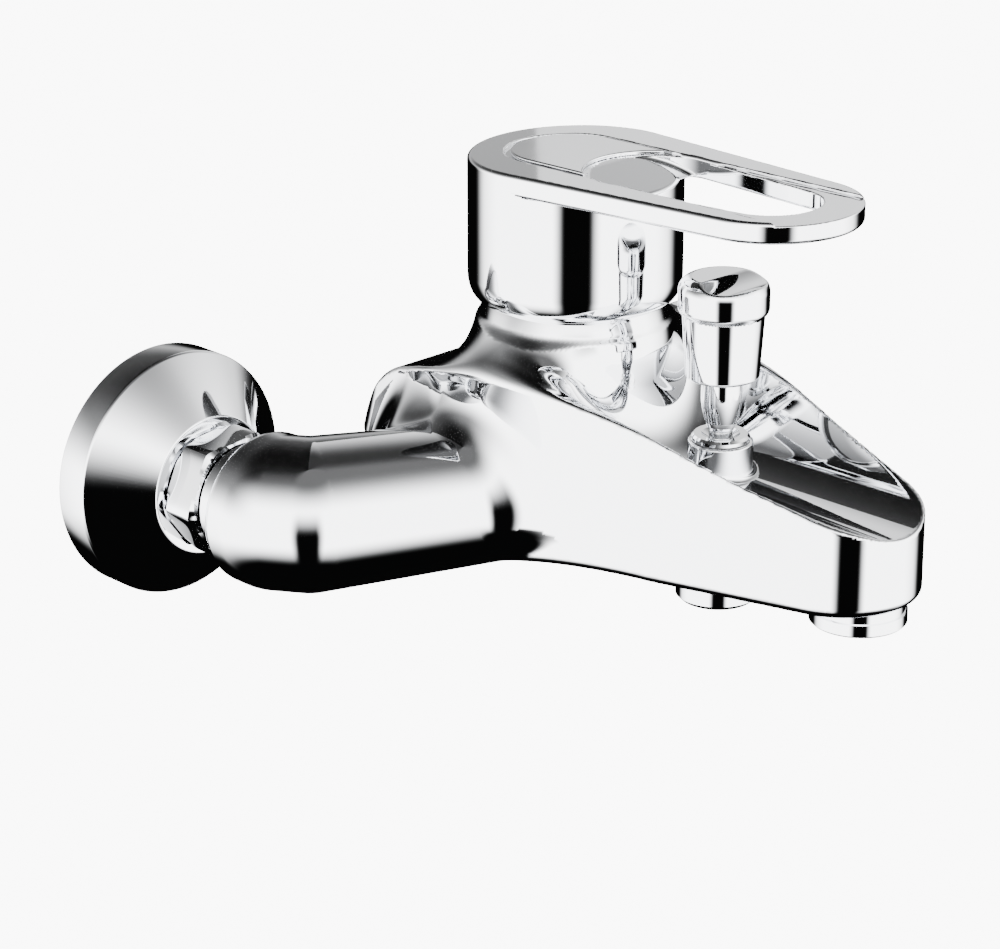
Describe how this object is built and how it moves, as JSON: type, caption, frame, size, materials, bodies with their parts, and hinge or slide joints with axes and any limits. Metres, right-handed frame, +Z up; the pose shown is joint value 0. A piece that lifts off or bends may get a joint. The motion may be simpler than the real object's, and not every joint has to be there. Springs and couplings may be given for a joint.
{
  "type": "wall mounted bath faucet",
  "caption": "Chrome wall mounted bath and shower mixer with swept arms, a tapered spout, a looped lever on a round cap and a lift-up diverter knob.",
  "frame": {"origin": "on the wall face, midway between the two water pipes in the wall", "axes": "+X to the right for a person facing the wall, +Y into the wall, +Z up; the spout points along -Y"},
  "size_m": [0.2148, 0.2031, 0.1202],
  "materials": {
    "chrome": "polished",
    "lever_panel": "polished",
    "brass": "machined",
    "rubber": "matte",
    "white_plastic": "moulded",
    "ceramic": "lapped",
    "steel": "machined"
  },
  "bodies": {
    "faucet": {"faucet_body": "chrome", "left_wall_union": "brass", "left_wall_flange": "chrome", "left_union_nut": "chrome", "left_inlet_nipple": "brass", "left_filter_washer": "rubber", "right_wall_union": "brass", "right_wall_flange": "chrome", "right_union_nut": "chrome", "right_inlet_nipple": "brass", "right_filter_washer": "rubber", "cartridge_housing": "white_plastic", "cartridge_base": "white_plastic", "cartridge_port_seals": "rubber", "fixed_ceramic_disc": "ceramic", "cartridge_nut": "brass", "dome_cover": "chrome", "diverter_bonnet": "chrome", "rod_o_ring": "rubber", "bonnet_washer": "rubber", "diverter_spring": "steel", "shower_nipple": "chrome", "nipple_o_ring": "rubber", "aerator_housing": "chrome", "aerator_insert": "white_plastic", "aerator_gasket": "rubber"},
    "turret": {"turning_ring": "white_plastic", "turning_ring_seal": "rubber", "stem_pivot_pin": "steel"},
    "lever_body": {"lever": "chrome", "lever_panel": "lever_panel", "lever_grub_screw": "steel", "screw_plug": "chrome", "control_stem": "brass"},
    "disc": {"disc_carrier": "white_plastic", "moving_ceramic_disc": "ceramic"},
    "diverter": {"diverter_knob": "chrome", "diverter_rod": "steel", "diverter_valve_disc": "brass", "lower_valve_washer": "rubber", "upper_valve_washer": "rubber", "valve_screw": "steel"}
  },
  "joints": [
    {"name": "lever_turn", "type": "hinge", "parent": "faucet", "child": "turret", "pos_m": [0, -0.0781, 0.03], "axis": [0, 0, 1], "range_deg": [-45, 45]},
    {"name": "lever_lift", "type": "hinge", "parent": "turret", "child": "lever_body", "pos_m": [0, -0.0781, 0.03], "axis": [-1, 0, 0], "range_deg": [0, 20]},
    {"name": "disc_slide", "type": "slide", "parent": "turret", "child": "disc", "axis": [0, -1, 0], "range_m": [0, 0.0054]},
    {"name": "diverter_lift", "type": "slide", "parent": "faucet", "child": "diverter", "axis": [0, 0, 1], "range_m": [0, 0.006], "stiffness_N_per_m": 80, "springref_m": -0.012, "deforming": ["diverter_spring"]}
  ],
  "couplings": [
    {"joint": "disc_slide", "follows": "lever_lift", "m_per_rad": 0.015187}
  ]
}
